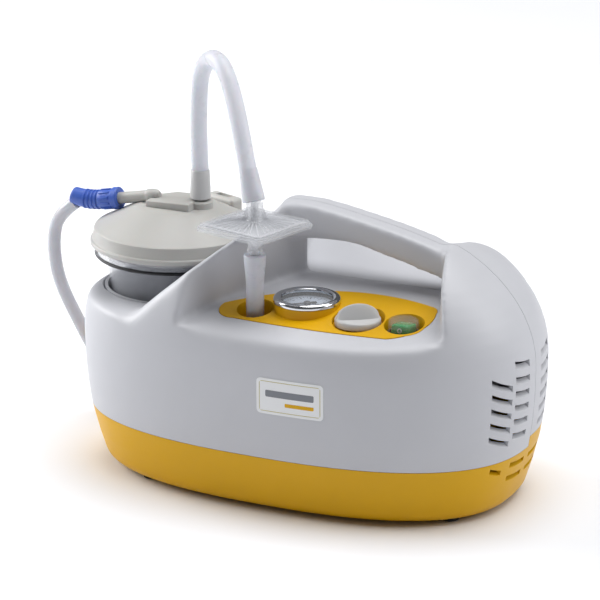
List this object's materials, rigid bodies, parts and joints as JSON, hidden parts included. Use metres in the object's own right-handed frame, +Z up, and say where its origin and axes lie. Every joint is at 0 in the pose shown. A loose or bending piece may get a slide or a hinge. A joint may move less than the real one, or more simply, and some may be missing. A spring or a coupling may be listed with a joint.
{
  "type": "portable suction pump",
  "caption": "Tabletop medical suction pump: moulded case with carrying handle, vacuum gauge, regulator knob, lift-out collection jar, filter and silicone hoses.",
  "frame": {"origin": "on the floor under the middle of the case", "axes": "+X towards the air vents, away from the collection jar; -Y the front with the control panel; +Z up"},
  "size_m": [0.4048, 0.3625, 0.3177],
  "materials": {
    "shell_white": "fine moulded texture, light cool grey-white",
    "base_yellow": "satin moulded plastic, warm yellow",
    "lid_offwhite": "satin moulded polypropylene",
    "clear_plastic": "clear moulded polycarbonate",
    "silicone": "milky translucent silicone",
    "blue_soft": "soft blue vinyl",
    "black_rubber": "black moulded rubber",
    "chrome": "polished",
    "dial_face": "printed dial, grey-blue",
    "needle_black": "black paint",
    "knob_white": "satin moulded plastic",
    "switch_black": "moulded nylon",
    "rocker_green": "glossy translucent green",
    "steel": "machined and plated steel",
    "aluminium": "die cast",
    "brass": "machined",
    "motor_paint": "dark grey paint",
    "board_green": "solder mask",
    "membrane": "white filter paper",
    "badge": "printed film with a thin border"
  },
  "bodies": {
    "root": {"back_shell": "shell_white", "base_screws": "steel", "base_tray": "base_yellow", "boot_collar": "chrome", "case_screws": "steel", "circuit_board": "board_green", "control_panel": "base_yellow", "cylinder_head": "aluminium", "exhaust_muffler": "switch_black", "front_shell": "shell_white", "fuse_holder": "switch_black", "gauge_bezel": "chrome", "gauge_case": "switch_black", "gauge_dial": "dial_face", "gauge_line": "silicone", "gauge_window": "clear_plastic", "head_screws": "steel", "jar_cradle": "shell_white", "jar_line": "silicone", "label_plate": "badge", "motor_end_bells": "aluminium", "motor_housing": "motor_paint", "motor_saddle": "steel", "power_inlet": "switch_black", "pump_bracket": "aluminium", "pump_cylinder": "aluminium", "pump_line": "silicone", "regulator_valve": "brass", "rubber_feet": "black_rubber", "rubber_mounts": "black_rubber", "run_capacitor": "aluminium", "shaft_bearings": "steel", "suction_inlet": "knob_white", "switch_body": "switch_black", "switch_boot": "clear_plastic"},
    "canister": {"canister_jar": "clear_plastic", "jar_gasket": "black_rubber", "canister_lid": "lid_offwhite", "float_cage": "lid_offwhite", "hose_adapter": "lid_offwhite", "patient_port": "lid_offwhite", "hose_connector": "blue_soft", "patient_hose": "silicone", "patient_hose_coil": "silicone", "end_connector": "blue_soft", "bridge_hose": "silicone", "filter_bottom": "clear_plastic", "filter_top": "clear_plastic", "filter_membrane": "membrane", "inlet_tube": "silicone"},
    "knob": {"regulator_knob": "knob_white", "regulator_stem": "brass"},
    "needle": {"gauge_needle": "needle_black"},
    "rocker": {"switch_rocker": "rocker_green"},
    "float": {"float_ball": "knob_white"},
    "rotor": {"motor_rotor": "steel", "cooling_fan": "switch_black", "crank": "steel"},
    "piston": {"connecting_rod": "aluminium"}
  },
  "joints": [
    {"name": "canister_lift", "type": "slide", "parent": "root", "child": "canister", "axis": [0, 0, 1], "range_m": [0, 0.1]},
    {"name": "regulator_turn", "type": "hinge", "parent": "root", "child": "knob", "pos_m": [0.062, -0.057, 0.147], "axis": [0, 0, 1], "range_deg": [0, 300]},
    {"name": "needle_turn", "type": "hinge", "parent": "root", "child": "needle", "pos_m": [0.017, -0.0465, 0.142], "axis": [0, 0, -1], "range_deg": [0, 270]},
    {"name": "switch_rock", "type": "hinge", "parent": "root", "child": "rocker", "pos_m": [0.0965, -0.0545, 0.1385], "axis": [1, 0, 0], "range_deg": [0, 16]},
    {"name": "float_rise", "type": "slide", "parent": "canister", "child": "float", "axis": [0, 0, 1], "range_m": [0, 0.008]},
    {"name": "motor_spin", "type": "hinge", "parent": "root", "child": "rotor", "pos_m": [0, 0.025, 0.058], "axis": [1, 0, 0], "continuous": true},
    {"name": "piston_stroke", "type": "slide", "parent": "root", "child": "piston", "axis": [0, 0, 1], "range_m": [-0.004, 0.004]}
  ]
}
